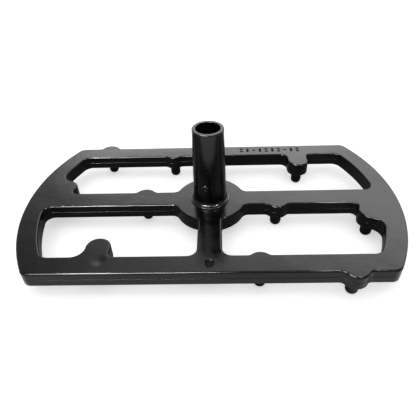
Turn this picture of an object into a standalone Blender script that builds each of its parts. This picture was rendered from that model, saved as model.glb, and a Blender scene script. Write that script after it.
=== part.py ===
"""Burner assembly: a flat hollow gas frame with a supply tube at its middle and ten nozzles that point down.

Metres, +Z up. The origin is on the tube's axis, level with the nozzle tips. The frame looks the same after
half a turn about that axis, so every window, lobe, nozzle and rivet on one half has a mate on the other.
"""

import math
from collections import namedtuple

import bmesh
import bpy
from mathutils import Vector

# Driving dimensions: heights
TIP_DROP = 0.0113  # how far the nozzles stand out below the frame
FRAME_HEIGHT = 0.0108
TUBE_HEIGHT = 0.0587  # the tube's rim above the frame's top face
FRAME_BOTTOM = TIP_DROP
FRAME_TOP = FRAME_BOTTOM + FRAME_HEIGHT
SPLIT = FRAME_BOTTOM + FRAME_HEIGHT / 2  # the plane where the two shells meet
TUBE_RIM = FRAME_TOP + TUBE_HEIGHT

# Driving dimensions: the frame in plan
RIM_OUTER = 0.1396  # the end bars are arcs about the tube's axis
RIM_INNER = 0.1253
LONG_BAR_OUTER = 0.0756  # the front and back bars' outer and inner edges, from the tube's axis
LONG_BAR_INNER = 0.0602
MIDDLE_BAR_HALF = 0.0084
STEM_HALF = 0.0084
HUB_RADIUS = 0.0264
LOBE_RADIUS = 0.0085

# Fillets of the frame in plan
CORNER_FILLET = 0.0066
WINDOW_CORNER_FILLET = 0.0075
WINDOW_FOOT_FILLET = 0.0060
HUB_FILLET = 0.0060
STEM_HUB_FILLET = 0.0027
STEM_BAR_FILLET = 0.0066
LOBE_FILLET = 0.0040
END_LOBE_FILLET = 0.0085  # where the lobe leaves the end bar
END_LOBE_FOOT_FILLET = 0.0040
REAR_ARM_FILLETS = (0.0035, 0.0055)  # beside the lobe that stands furthest into a window
FRONT_ARM_FILLETS = (0.0085, 0.0030)

# The shells' section
GAP = 0.0003  # left between pieces that touch
WALL = 0.0020
EDGE_CHAMFER = 0.0009
SKIRT = 0.00085  # the lower shell's outer lip, which the upper shell's tongue sits behind
TONGUE = 0.0016

# The supply tube
TUBE_RADIUS = 0.0110
TUBE_BORE = 0.0084
TUBE_ROOT_RADIUS = 0.0121
FOOT_RADIUS = 0.0138
FOOT_RISE = 0.0030
FOOT_THICKNESS = 0.0008
RIM_ROUNDING = 0.0008
SPIGOT_RADIUS = 0.0099
SPIGOT_LENGTH = 0.0056
SEAL_RADIUS = 0.0145
SEAL_THICKNESS = 0.0006
NUT_RADIUS = 0.0146
NUT_THICKNESS = 0.0027

# The pressure test screw in the tube's wall
TEST_SCREW_HEIGHT = 0.0166  # above the frame's top face
TEST_SCREW_BEARING = math.radians(-105)
TEST_SCREW_SEAT = 0.0113  # the seat's distance from the tube's axis
TEST_HEAD_RADIUS = 0.0026
TEST_HEAD_HEIGHT = 0.0012
TEST_SHANK_RADIUS = 0.0016

# Clamp rivets
RIVET_OFFSET = 0.0676  # from the tube's axis, along the stems
RIVET_HEAD_RADIUS = 0.0027
RIVET_HEAD_THICKNESS = 0.0005
RIVET_SHANK_RADIUS = 0.0016
RIVET_RECESS_DEPTH = 0.0009
RIVET_POST_RADIUS = 0.0036

# Nozzles and jets
NOZZLE_RADIUS = 0.0042
NOZZLE_TIP_RADIUS = 0.0021
NOZZLE_CONE = 0.0034
NOZZLE_SHANK_RADIUS = 0.0030
NOZZLE_SHANK = 0.0042
NOZZLE_BORE = 0.0021
NOZZLE_OUTLET = 0.0010
NOZZLE_FLOOR = 0.0022  # the wall left at the tip
JET_ORIFICE = 0.0005
JET_LENGTH = 0.0030
SOCKET_RADIUS = 0.0050
SOCKET_HEIGHT = 0.0045  # above the frame's bottom face

# One nozzle of each pair, by name with its mate's, and its place in plan
NOZZLE_PAIRS = (
    ("rear_left", "front_right", (-0.0910, 0.0726)),
    ("rear_centre", "front_centre", (-0.0327, 0.0657)),
    ("rear_right", "front_left", (0.0744, 0.0512)),
    ("middle_left", "middle_right", (-0.0500, 0.0043)),
    ("end_left", "end_right", (-0.1156, 0.0178)),
)
NOZZLES = {}
for name, mate, (x, y) in NOZZLE_PAIRS:
    NOZZLES[name] = (x, y)
    NOZZLES[mate] = (-x, -y)

# Facets
FILLET_STEPS = 3
LOBE_STEPS = 6
END_STEPS = 12
HUB_STEPS = 7
ROUND_STEPS = 12
TUBE_STEPS = 28

EAST, NORTH, WEST, SOUTH = (quarter * math.pi / 2 for quarter in range(4))

# An outline is a chain of straight edges and arcs, walked with a fillet from each one to the next. An edge
# runs through (x, y) along its heading. An arc's turn is 1 anticlockwise and -1 clockwise.
Edge = namedtuple("Edge", "x y heading")
Arc = namedtuple("Arc", "x y radius turn steps")
Link = namedtuple("Link", "curve fillet steps")


def shifted_left(curve, distance):
    if isinstance(curve, Edge):
        x = curve.x - distance * math.sin(curve.heading)
        y = curve.y + distance * math.cos(curve.heading)
        return curve._replace(x=x, y=y)
    return curve._replace(radius=curve.radius - curve.turn * distance)


def edges_meet(first, second):
    way = Vector((math.cos(first.heading), math.sin(first.heading)))
    normal = Vector((-math.sin(second.heading), math.cos(second.heading)))
    start = Vector((first.x, first.y))
    along = (Vector((second.x, second.y)) - start).dot(normal) / way.dot(normal)
    return start + way * along


def edge_meets_arc(edge, arc, ahead):
    """The crossing past the arc's centre, as the edge runs, or the one before it."""
    way = Vector((math.cos(edge.heading), math.sin(edge.heading)))
    start = Vector((edge.x, edge.y))
    to_centre = Vector((arc.x, arc.y)) - start
    along = to_centre.dot(way)
    across = (to_centre - way * along).length
    half_chord = math.sqrt(arc.radius**2 - across**2)
    return start + way * (along + (half_chord if ahead else -half_chord))


def arcs_meet(first, second):
    """The crossing on the right of the line from the first centre to the second."""
    start = Vector((first.x, first.y))
    between = Vector((second.x, second.y)) - start
    along = (first.radius**2 - second.radius**2 + between.length_squared) / (2 * between.length)
    across = math.sqrt(first.radius**2 - along**2)
    way = between.normalized()
    return start + way * along + Vector((way.y, -way.x)) * across


def fillet_centre(first, second, fillet):
    """Fillets above zero lie on the left of the walk, and those below zero on the right."""
    first, second = shifted_left(first, fillet), shifted_left(second, fillet)
    if isinstance(first, Edge) and isinstance(second, Edge):
        return edges_meet(first, second)
    if isinstance(first, Arc) and isinstance(second, Arc):
        return arcs_meet(first, second)
    if isinstance(first, Edge):
        return edge_meets_arc(first, second, second.turn * fillet > 0)
    return edge_meets_arc(second, first, first.turn * fillet < 0)


def touch_point(curve, centre):
    """Where a fillet about this centre touches the curve."""
    if isinstance(curve, Edge):
        way = Vector((math.cos(curve.heading), math.sin(curve.heading)))
        start = Vector((curve.x, curve.y))
        return start + way * (centre - start).dot(way)
    middle = Vector((curve.x, curve.y))
    return middle + (centre - middle).normalized() * curve.radius


def arc_points(centre, start, end, turn, steps):
    """The points of an arc from start to end, both included."""
    first = math.atan2(start.y - centre.y, start.x - centre.x)
    last = math.atan2(end.y - centre.y, end.x - centre.x)
    sweep = turn * ((turn * (last - first)) % math.tau)
    radius = (start - centre).length
    angles = (first + sweep * step / steps for step in range(steps + 1))
    return [centre + radius * Vector((math.cos(a), math.sin(a))) for a in angles]


def outline(chain, shift=0.0):
    """The closed outline of a chain, moved left of its walk by shift. Its point count never changes."""
    curves = [shifted_left(link.curve, shift) for link in chain]
    fillets = []
    for index, link in enumerate(chain):
        radius = link.fillet - shift
        first, second = curves[index], curves[(index + 1) % len(chain)]
        centre = fillet_centre(first, second, radius)
        ends = touch_point(first, centre), touch_point(second, centre)
        fillets.append((centre, ends, math.copysign(1, radius), link.steps))
    points = []
    for index, curve in enumerate(curves):
        centre, (start, end), turn, steps = fillets[index]
        if isinstance(curve, Arc):
            before = fillets[index - 1][1][1]
            middle = Vector((curve.x, curve.y))
            points += arc_points(middle, before, start, curve.turn, curve.steps)[1:-1]
        points += arc_points(centre, start, end, turn, steps)
    return points


def half_turned(chain):
    mates = []
    for curve, fillet, steps in chain:
        mate = curve._replace(x=-curve.x, y=-curve.y)
        if isinstance(curve, Edge):
            mate = mate._replace(heading=curve.heading + math.pi)
        mates.append(Link(mate, fillet, steps))
    return mates


def link(curve, fillet, steps=FILLET_STEPS):
    return Link(curve, fillet, steps)


def lobe(nozzle, turn):
    return Arc(*NOZZLES[nozzle], LOBE_RADIUS, turn, LOBE_STEPS)


def rim(radius):
    return Arc(0.0, 0.0, radius, 1, END_STEPS)


def outer_chain():
    """The frame's outer edge, walked anticlockwise."""
    back_edge = Edge(0.0, LONG_BAR_OUTER, WEST)
    half = [
        link(back_edge, -LOBE_FILLET),
        link(lobe("rear_left", 1), -LOBE_FILLET),
        link(back_edge, CORNER_FILLET),
        link(rim(RIM_OUTER), CORNER_FILLET),
    ]
    return half + half_turned(half)


def left_window_chain():
    """The window behind the middle bar on the left, walked anticlockwise."""
    middle_edge = Edge(0.0, MIDDLE_BAR_HALF, EAST)
    back_edge = Edge(0.0, LONG_BAR_INNER, WEST)
    return [
        link(middle_edge, LOBE_FILLET),
        link(lobe("middle_left", -1), LOBE_FILLET),
        link(middle_edge, HUB_FILLET),
        link(Arc(0.0, 0.0, HUB_RADIUS, -1, HUB_STEPS), STEM_HUB_FILLET),
        link(Edge(-STEM_HALF, 0.0, NORTH), STEM_BAR_FILLET),
        link(back_edge, LOBE_FILLET),
        link(lobe("rear_centre", -1), LOBE_FILLET),
        link(back_edge, WINDOW_CORNER_FILLET),
        link(rim(RIM_INNER), END_LOBE_FILLET),
        link(lobe("end_left", -1), END_LOBE_FOOT_FILLET),
    ]


def right_window_chain(arm_fillets):
    """The window behind the middle bar on the right, walked anticlockwise."""
    east_fillet, west_fillet = arm_fillets
    back_edge = Edge(0.0, LONG_BAR_INNER, WEST)
    x, y = NOZZLES["rear_right"]
    nose = -0.98 * LOBE_RADIUS
    return [
        link(Edge(0.0, MIDDLE_BAR_HALF, EAST), WINDOW_FOOT_FILLET),
        link(rim(RIM_INNER), WINDOW_CORNER_FILLET),
        link(back_edge, east_fillet),
        link(Edge(x + LOBE_RADIUS, 0.0, SOUTH), nose, LOBE_STEPS),
        link(Edge(0.0, y - LOBE_RADIUS, WEST), nose, LOBE_STEPS),
        link(Edge(x - LOBE_RADIUS, 0.0, NORTH), west_fillet),
        link(back_edge, STEM_BAR_FILLET),
        link(Edge(STEM_HALF, 0.0, SOUTH), STEM_HUB_FILLET),
        link(Arc(0.0, 0.0, HUB_RADIUS, -1, HUB_STEPS), HUB_FILLET),
    ]


def frame_outlines(inset):
    """The outer edge and the four windows, moved into the frame's material by inset."""
    windows = [
        left_window_chain(),
        right_window_chain(REAR_ARM_FILLETS),
        half_turned(left_window_chain()),
        half_turned(right_window_chain(FRONT_ARM_FILLETS)),
    ]
    return [outline(outer_chain(), inset)] + [outline(chain, -inset) for chain in windows]


def shell_mesh(name, levels):
    """A shell whose section follows levels, each an inset and a height, from its outer to its inner face."""
    bm = bmesh.new()
    caps = ([], [])
    loops_by_level = [frame_outlines(inset) for inset, _ in levels]
    for loops in zip(*loops_by_level):
        rings = []
        for points, (_, height) in zip(loops, levels):
            rings.append([bm.verts.new((x, y, height)) for x, y in points])
        for upper, lower in zip(rings, rings[1:]):
            for index in range(len(upper)):
                bm.faces.new((upper[index - 1], upper[index], lower[index], lower[index - 1]))
        for cap, ring in zip(caps, (rings[0], rings[-1])):
            cap += [bm.edges.get((ring[index - 1], ring[index])) for index in range(len(ring))]
    for cap in caps:
        bmesh.ops.triangle_fill(bm, use_beauty=True, edges=cap)
    return finished_mesh(bm, name)


def turned_mesh(name, profile, steps):
    """A solid of revolution about Z. The profile is a closed ring of (radius, height) points."""
    bm = bmesh.new()
    verts = [bm.verts.new((radius, 0.0, height)) for radius, height in profile]
    edges = [bm.edges.new((verts[index - 1], verts[index])) for index in range(len(verts))]
    bmesh.ops.spin(
        bm, geom=verts + edges, cent=(0, 0, 0), axis=(0, 0, 1), angle=math.tau, steps=steps
    )
    bmesh.ops.remove_doubles(bm, verts=bm.verts, dist=1e-6)
    return finished_mesh(bm, name)


def finished_mesh(bm, name):
    bmesh.ops.recalc_face_normals(bm, faces=bm.faces)
    mesh = bpy.data.meshes.new(name)
    bm.to_mesh(mesh)
    bm.free()
    mesh.shade_smooth()
    mesh.set_sharp_from_angle(angle=math.radians(35))
    return mesh


def cylinders_mesh(name, cylinders, steps=ROUND_STEPS):
    """Upright cylinders in one mesh, each given as its place in plan, radius, lowest and highest point."""
    bm = bmesh.new()
    for (x, y), radius, low, high in cylinders:
        made = bmesh.ops.create_cone(
            bm, cap_ends=True, segments=steps, radius1=radius, radius2=radius, depth=high - low
        )
        bmesh.ops.translate(bm, verts=made["verts"], vec=(x, y, (low + high) / 2))
    return finished_mesh(bm, name)


def material(name, colour, roughness, metallic=0.0):
    made = bpy.data.materials.new(name)
    made.use_nodes = True
    shader = made.node_tree.nodes["Principled BSDF"]
    shader.inputs["Base Color"].default_value = (*colour, 1.0)
    shader.inputs["Roughness"].default_value = roughness
    shader.inputs["Metallic"].default_value = metallic
    return made


def add(mesh, name, slot=None, location=(0.0, 0.0, 0.0)):
    """An object under the assembly's empty. One with no material slot is a helper, not part of the burner."""
    obj = bpy.data.objects.new(name, mesh)
    bpy.context.scene.collection.objects.link(obj)
    obj.location = location
    if slot:
        obj.parent = bpy.data.objects["burner_assembly"]
        obj.data.materials.clear()
        obj.data.materials.append(bpy.data.materials[slot])
    else:
        obj.hide_render = True
        obj.display_type = "WIRE"
    return obj


def combine(obj, helper, operation):
    modifier = obj.modifiers.new(helper.name, "BOOLEAN")
    modifier.operation = operation
    modifier.solver = "EXACT"
    modifier.object = helper


def clear_scene():
    for obj in list(bpy.data.objects):
        bpy.data.objects.remove(obj)


def make_materials():
    material("frame_black", (0.018, 0.018, 0.019), 0.28)
    material("tube_black", (0.016, 0.016, 0.017), 0.22)
    material("nozzle_black", (0.014, 0.014, 0.015), 0.34)
    material("fastener_black", (0.020, 0.020, 0.021), 0.30)
    material("seal_grey", (0.16, 0.16, 0.16), 0.45)
    material("jet_brass", (0.62, 0.44, 0.18), 0.30, 1.0)
    material("nut_steel", (0.45, 0.45, 0.46), 0.35, 1.0)


def rivet_places():
    return (("front", (0.0, -RIVET_OFFSET)), ("rear", (0.0, RIVET_OFFSET)))


def make_upper_shell():
    levels = (
        (EDGE_CHAMFER, FRAME_TOP),
        (0.0, FRAME_TOP - EDGE_CHAMFER),
        (0.0, SPLIT + GAP / 2),
        (SKIRT + GAP, SPLIT + GAP / 2),
        (SKIRT + GAP, SPLIT - TONGUE),
        (WALL, SPLIT - TONGUE),
        (WALL, FRAME_TOP - WALL),
    )
    shell = add(shell_mesh("frame_upper_shell", levels), "frame_upper_shell", "frame_black")
    above, below = FRAME_TOP + WALL, FRAME_TOP - 2 * WALL
    spigot_hole = [((0.0, 0.0), SPIGOT_RADIUS + GAP, below, above)]
    combine(shell, add(cylinders_mesh("cut_spigot", spigot_hole, TUBE_STEPS), "cut_spigot"), "DIFFERENCE")
    holes = []
    for _, place in rivet_places():
        holes.append((place, RIVET_SHANK_RADIUS + GAP, below, above))
    combine(shell, add(cylinders_mesh("cut_top_rivets", holes), "cut_top_rivets"), "DIFFERENCE")
    recesses = []
    for _, place in rivet_places():
        recesses.append((place, RIVET_HEAD_RADIUS + GAP, FRAME_TOP - RIVET_RECESS_DEPTH, above))
    combine(shell, add(cylinders_mesh("cut_top_recesses", recesses), "cut_top_recesses"), "DIFFERENCE")


def make_lower_shell():
    levels = (
        (EDGE_CHAMFER, FRAME_BOTTOM),
        (0.0, FRAME_BOTTOM + EDGE_CHAMFER),
        (0.0, SPLIT - GAP / 2),
        (SKIRT, SPLIT - GAP / 2),
        (SKIRT, SPLIT - TONGUE - GAP),
        (WALL, SPLIT - TONGUE - GAP),
        (WALL, FRAME_BOTTOM + WALL),
    )
    shell = add(shell_mesh("frame_lower_shell", levels), "frame_lower_shell", "frame_black")
    root, below = FRAME_BOTTOM + WALL / 2, FRAME_BOTTOM - WALL
    ceiling = FRAME_TOP - WALL - GAP
    posts, bores, recesses = [], [], []
    for place in NOZZLES.values():
        posts.append((place, SOCKET_RADIUS, root, FRAME_BOTTOM + SOCKET_HEIGHT))
        bores.append((place, NOZZLE_SHANK_RADIUS + GAP, below, FRAME_TOP))
    for _, place in rivet_places():
        posts.append((place, RIVET_POST_RADIUS, root, ceiling))
        bores.append((place, RIVET_SHANK_RADIUS + GAP, below, FRAME_TOP))
        recesses.append((place, RIVET_HEAD_RADIUS + GAP, below, FRAME_BOTTOM + RIVET_RECESS_DEPTH))
    combine(shell, add(cylinders_mesh("add_sockets", posts), "add_sockets"), "UNION")
    combine(shell, add(cylinders_mesh("cut_bores", bores), "cut_bores"), "DIFFERENCE")
    combine(shell, add(cylinders_mesh("cut_low_recesses", recesses), "cut_low_recesses"), "DIFFERENCE")


def tube_profile():
    """The tube's section about its axis, with heights from the frame's top face."""
    underside = 2 * GAP + SEAL_THICKNESS
    ledge = underside + FOOT_THICKNESS
    points = [
        (TUBE_BORE + RIM_ROUNDING / 2, TUBE_HEIGHT),
        (TUBE_RADIUS - RIM_ROUNDING, TUBE_HEIGHT),
        (TUBE_RADIUS - RIM_ROUNDING * 0.3, TUBE_HEIGHT - RIM_ROUNDING * 0.3),
        (TUBE_RADIUS, TUBE_HEIGHT - RIM_ROUNDING),
    ]
    for step in range(5):
        angle = step * math.pi / 8
        flare = (FOOT_RADIUS - TUBE_ROOT_RADIUS) * (1 - math.cos(angle))
        points.append((TUBE_ROOT_RADIUS + flare, ledge + FOOT_RISE * (1 - math.sin(angle))))
    points += [
        (FOOT_RADIUS, underside),
        (SPIGOT_RADIUS, underside),
        (SPIGOT_RADIUS, -SPIGOT_LENGTH),
        (TUBE_BORE, -SPIGOT_LENGTH),
        (TUBE_BORE, TUBE_HEIGHT - RIM_ROUNDING / 2),
    ]
    return points


def radial_helper(name, mesh, distance):
    """A helper that points out of the tube's wall on the test screw's axis."""
    helper = add(mesh, name)
    aim_at_test_screw(helper, distance)
    return helper


def aim_at_test_screw(obj, distance):
    outward = Vector((math.cos(TEST_SCREW_BEARING), math.sin(TEST_SCREW_BEARING), 0.0))
    obj.location = outward * distance + Vector((0.0, 0.0, FRAME_TOP + TEST_SCREW_HEIGHT))
    obj.rotation_euler = outward.to_track_quat("Z", "Y").to_euler()


def make_supply_tube():
    mesh = turned_mesh("supply_tube", tube_profile(), TUBE_STEPS)
    tube = add(mesh, "supply_tube", "tube_black", (0.0, 0.0, FRAME_TOP))
    seat = [((0.0, 0.0), TEST_HEAD_RADIUS + GAP, 0.0, 2 * TEST_HEAD_HEIGHT)]
    seat_mesh = cylinders_mesh("cut_test_seat", seat)
    combine(tube, radial_helper("cut_test_seat", seat_mesh, TEST_SCREW_SEAT), "DIFFERENCE")
    hole = [((0.0, 0.0), TEST_SHANK_RADIUS + GAP, -TUBE_BORE / 2, 0.001)]
    hole_mesh = cylinders_mesh("cut_test_hole", hole)
    combine(tube, radial_helper("cut_test_hole", hole_mesh, TEST_SCREW_SEAT), "DIFFERENCE")


def make_test_screw():
    """Its local Z points out of the tube, and its seat is at zero."""
    tip = TUBE_BORE + 0.0004 - TEST_SCREW_SEAT
    head = TEST_HEAD_RADIUS
    profile = [
        (0.0, GAP + TEST_HEAD_HEIGHT),
        (0.6 * head, GAP + 0.92 * TEST_HEAD_HEIGHT),
        (0.9 * head, GAP + 0.7 * TEST_HEAD_HEIGHT),
        (head, GAP + 0.4 * TEST_HEAD_HEIGHT),
        (head, GAP),
        (TEST_SHANK_RADIUS, GAP),
        (TEST_SHANK_RADIUS, tip),
        (0.0, tip),
    ]
    mesh = turned_mesh("pressure_test_screw", profile, ROUND_STEPS)
    aim_at_test_screw(add(mesh, "pressure_test_screw", "fastener_black"), TEST_SCREW_SEAT)


def ring_mesh(name, inner, outer, low, high, steps):
    return turned_mesh(name, [(inner, high), (outer, high), (outer, low), (inner, low)], steps)


def make_tube_fittings():
    seal = ring_mesh(
        "tube_foot_seal", SPIGOT_RADIUS + GAP, SEAL_RADIUS, GAP, GAP + SEAL_THICKNESS, TUBE_STEPS
    )
    add(seal, "tube_foot_seal", "seal_grey", (0.0, 0.0, FRAME_TOP))
    nut_top = FRAME_TOP - WALL - GAP
    hexagon = [((0.0, 0.0), NUT_RADIUS, nut_top - NUT_THICKNESS, nut_top)]
    nut = add(cylinders_mesh("tube_retaining_nut", hexagon, 6), "tube_retaining_nut", "nut_steel")
    thread = [((0.0, 0.0), SPIGOT_RADIUS + GAP, FRAME_BOTTOM, FRAME_TOP)]
    combine(nut, add(cylinders_mesh("cut_nut", thread, TUBE_STEPS), "cut_nut"), "DIFFERENCE")


def make_rivets():
    seat = RIVET_RECESS_DEPTH - GAP
    top, bottom = FRAME_TOP - seat, FRAME_BOTTOM + seat
    head, crown = RIVET_HEAD_RADIUS, RIVET_HEAD_THICKNESS
    profile = [
        (0.0, top + crown),
        (0.6 * head, top + 0.9 * crown),
        (head, top + 0.5 * crown),
        (head, top),
        (RIVET_SHANK_RADIUS, top),
        (RIVET_SHANK_RADIUS, bottom),
        (head, bottom),
        (head, bottom - 0.5 * crown),
        (0.6 * head, bottom - 0.9 * crown),
        (0.0, bottom - crown),
    ]
    mesh = turned_mesh("clamp_rivet", profile, ROUND_STEPS)
    for side, (x, y) in rivet_places():
        add(mesh, f"{side}_clamp_rivet", "fastener_black", (x, y, 0.0))


def make_nozzles():
    """A nozzle's shank passes up through its socket, and its shoulder seats below the frame."""
    shoulder = FRAME_BOTTOM - GAP
    profile = [
        (NOZZLE_BORE, FRAME_BOTTOM + NOZZLE_SHANK),
        (NOZZLE_SHANK_RADIUS, FRAME_BOTTOM + NOZZLE_SHANK),
        (NOZZLE_SHANK_RADIUS, shoulder),
        (NOZZLE_RADIUS, shoulder),
        (NOZZLE_RADIUS, NOZZLE_CONE),
        (NOZZLE_TIP_RADIUS, 0.0),
        (NOZZLE_OUTLET, 0.0),
        (NOZZLE_OUTLET, NOZZLE_FLOOR),
        (NOZZLE_BORE, NOZZLE_FLOOR),
    ]
    mesh = turned_mesh("nozzle", profile, ROUND_STEPS)
    for name, (x, y) in NOZZLES.items():
        add(mesh, f"nozzle_{name}", "nozzle_black", (x, y, 0.0))


def make_jets():
    low = NOZZLE_FLOOR + GAP
    mesh = ring_mesh("jet", JET_ORIFICE, NOZZLE_BORE - GAP, low, low + JET_LENGTH, ROUND_STEPS)
    for name, (x, y) in NOZZLES.items():
        add(mesh, f"jet_{name}", "jet_brass", (x, y, 0.0))


def main():
    clear_scene()
    make_materials()
    bpy.context.scene.collection.objects.link(bpy.data.objects.new("burner_assembly", None))
    make_upper_shell()
    make_lower_shell()
    make_supply_tube()
    make_test_screw()
    make_tube_fittings()
    make_rivets()
    make_nozzles()
    make_jets()


main()
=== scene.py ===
"""Burner assembly: the visual model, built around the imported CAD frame.

Metres, +Z up, in the CAD's own frame: the origin is on the supply tube's axis, level with the nozzle tips.
Heights come from the CAD nodes. The plan dimensions repeat those of the CAD source, and every arc here has
more facets than the CAD solid that it stands for.
"""

import math
from collections import namedtuple

import bmesh
import bpy
from mathutils import Matrix, Vector


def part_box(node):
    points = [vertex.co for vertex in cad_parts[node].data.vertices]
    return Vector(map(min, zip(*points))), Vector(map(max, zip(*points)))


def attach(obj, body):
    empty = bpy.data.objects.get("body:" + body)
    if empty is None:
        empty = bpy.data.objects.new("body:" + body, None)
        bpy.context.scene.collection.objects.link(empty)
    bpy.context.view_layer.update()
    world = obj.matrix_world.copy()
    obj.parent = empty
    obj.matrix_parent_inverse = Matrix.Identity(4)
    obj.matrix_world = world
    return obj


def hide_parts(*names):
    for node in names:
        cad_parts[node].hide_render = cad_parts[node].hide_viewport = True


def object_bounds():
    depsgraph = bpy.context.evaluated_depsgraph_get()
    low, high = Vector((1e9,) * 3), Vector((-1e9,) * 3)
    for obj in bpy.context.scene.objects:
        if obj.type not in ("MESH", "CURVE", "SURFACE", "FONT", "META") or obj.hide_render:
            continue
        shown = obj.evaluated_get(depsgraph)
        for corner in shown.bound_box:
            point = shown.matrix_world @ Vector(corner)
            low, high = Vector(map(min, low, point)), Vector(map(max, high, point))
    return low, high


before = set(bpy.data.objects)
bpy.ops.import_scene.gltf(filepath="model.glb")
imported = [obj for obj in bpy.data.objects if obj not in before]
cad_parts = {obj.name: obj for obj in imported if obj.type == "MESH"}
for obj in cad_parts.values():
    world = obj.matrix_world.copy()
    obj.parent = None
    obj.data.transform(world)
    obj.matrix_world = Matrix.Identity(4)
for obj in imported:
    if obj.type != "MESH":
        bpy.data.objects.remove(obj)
cad_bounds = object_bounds()

# Heights, from the CAD nodes
FRAME_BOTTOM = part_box("frame_lower_shell")[0].z
FRAME_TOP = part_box("frame_upper_shell")[1].z
SPLIT = (FRAME_BOTTOM + FRAME_TOP) / 2
TUBE_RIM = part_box("supply_tube")[1].z

# The frame in plan
RIM_OUTER = 0.1396
RIM_INNER = 0.1253
LONG_BAR_OUTER = 0.0756
LONG_BAR_INNER = 0.0602
MIDDLE_BAR_HALF = 0.0084
STEM_HALF = 0.0084
HUB_RADIUS = 0.0264
LOBE_RADIUS = 0.0085
ARM_CORNER = 0.98 * LOBE_RADIUS
CORNER_FILLET = 0.0066
WINDOW_CORNER_FILLET = 0.0075
WINDOW_FOOT_FILLET = 0.0060
HUB_FILLET = 0.0060
STEM_HUB_FILLET = 0.0027
STEM_BAR_FILLET = 0.0066
LOBE_FILLET = 0.0040
END_LOBE_FILLET = 0.0085
END_LOBE_FOOT_FILLET = 0.0040
REAR_ARM_FILLETS = (0.0035, 0.0055)
FRONT_ARM_FILLETS = (0.0085, 0.0030)

# The shells' section
GAP = 0.0003
WALL = 0.0020
SKIRT = 0.00085
TONGUE = 0.0016
TOP_ROUND = 0.0013
LOW_ROUND = 0.0006
SEAM = 0.00006
UPPER_SEAM_ROUND = 0.00035
LOWER_SEAM_ROUND = 0.00015

# Bevels and roundings on the small corners of fittings
EASE = 0.0003
FINE_EASE = 0.0002
LEAD_IN = 0.0004

# How far a cutting shape runs past what it cuts, and how close two points must be to be one
CUT_OVERRUN = 0.001
WELD = 1e-6

# The supply tube, its seal and its test screw
TUBE_RADIUS = 0.0110
TUBE_BORE = 0.0084
TUBE_ROOT_RADIUS = 0.0121
FOOT_RADIUS = 0.0138
FOOT_RISE = 0.0030
FOOT_THICKNESS = 0.0008
RIM_ROUNDING = 0.0008
RIM_FACE_DEPTH = 0.0001
RIM_FACE_LEVEL = 0.9
SPIGOT_RADIUS = 0.0099
SPIGOT_LENGTH = 0.0056
SEAL_RADIUS = 0.0145
SEAL_THICKNESS = 0.0006
TEST_SCREW_HEIGHT = 0.0166
TEST_SCREW_BEARING = math.radians(-105)
TEST_SCREW_SEAT = 0.0113
TEST_HEAD_RADIUS = 0.0026
TEST_HEAD_HEIGHT = 0.0012
TEST_HEAD_EDGE = 0.0004
TEST_HEAD_CHAMFER = 0.0001
TEST_SHANK_RADIUS = 0.0016
TEST_TIP_INSET = 0.0004
TEST_SLOT_WIDTH = 0.0006
TEST_SLOT_DEPTH = 0.00055

# Clamp rivets
RIVET_OFFSET = 0.0676
RIVET_HEAD_RADIUS = 0.0027
RIVET_HEAD_THICKNESS = 0.0005
RIVET_EDGE_SHARE = 0.25
RIVET_SHANK_RADIUS = 0.0016
RIVET_RECESS_DEPTH = 0.0009
RIVET_RECESS_ROUND = 0.0006
RIVET_POST_RADIUS = 0.0036

# Nozzles and jets
NOZZLE_RADIUS = 0.0042
NOZZLE_SHANK_RADIUS = 0.0030
NOZZLE_SHANK = 0.0042
NOZZLE_CONE = 0.0034
NOZZLE_TIP_RADIUS = 0.0013
NOZZLE_BORE = 0.0021
NOZZLE_OUTLET = 0.0010
NOZZLE_FLOOR = 0.0022
JET_ORIFICE = 0.0005
JET_LENGTH = 0.0030
SOCKET_RADIUS = 0.0050
SOCKET_HEIGHT = 0.0045

# The pattern of pads on the back bar: in each step of the row, each pad's place along Y, and its size
MARK_START = 0.0270
MARK_PITCH = 0.0055
MARK_ROW = 0.0684
MARK_HEIGHT = 0.00018
MARK_BEVEL = 0.00012
BAR = ((0.0, 0.0020, 0.0054),)
DOTS = ((0.0018, 0.0026, 0.0019), (-0.0018, 0.0026, 0.0019))
DASH = ((0.0, 0.0026, 0.0014),)
MARKS = (DOTS, BAR, DASH, BAR, DOTS, BAR, DOTS, DASH, BAR, DOTS)

NOZZLE_PAIRS = (
    ("rear_left", "front_right", (-0.0910, 0.0726)),
    ("rear_centre", "front_centre", (-0.0327, 0.0657)),
    ("rear_right", "front_left", (0.0744, 0.0512)),
    ("middle_left", "middle_right", (-0.0500, 0.0043)),
    ("end_left", "end_right", (-0.1156, 0.0178)),
)
NOZZLES = {}
for name, mate, (x, y) in NOZZLE_PAIRS:
    NOZZLES[name] = (x, y)
    NOZZLES[mate] = (-x, -y)

# A shallow sink mark in the front bar's top: its place and reach
SINK_MARK = ((-0.0711, -0.0641, FRAME_TOP), 0.006)

# Facets
FILLET_STEPS = 9
LOBE_STEPS = 18
END_STEPS = 60
HUB_STEPS = 28
ROUND_STEPS = 48
TUBE_STEPS = 112
TOP_ROUND_STEPS = 8
LOW_ROUND_STEPS = 5
SEAM_ROUND_STEPS = 4
HOLE_ROUND_STEPS = 3
LIP_STEPS = 4
RIM_STEPS = 6
WALL_STEPS = 12
FLARE_STEPS = 12
EASE_STEPS = 4
FINE_EASE_STEPS = 3
SEAL_INNER_STEPS = 6
SEAL_OUTER_STEPS = 8
DOME_STEPS = 8
TIP_STEPS = 10
SHARP_ANGLE = math.radians(40)

QUARTER = math.pi / 2
EAST, NORTH, WEST, SOUTH = (turns * QUARTER for turns in range(4))

# Tool marks on turned and cut metal
TOOL_MARK_SCALE = 2600.0 / math.tau

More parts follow.
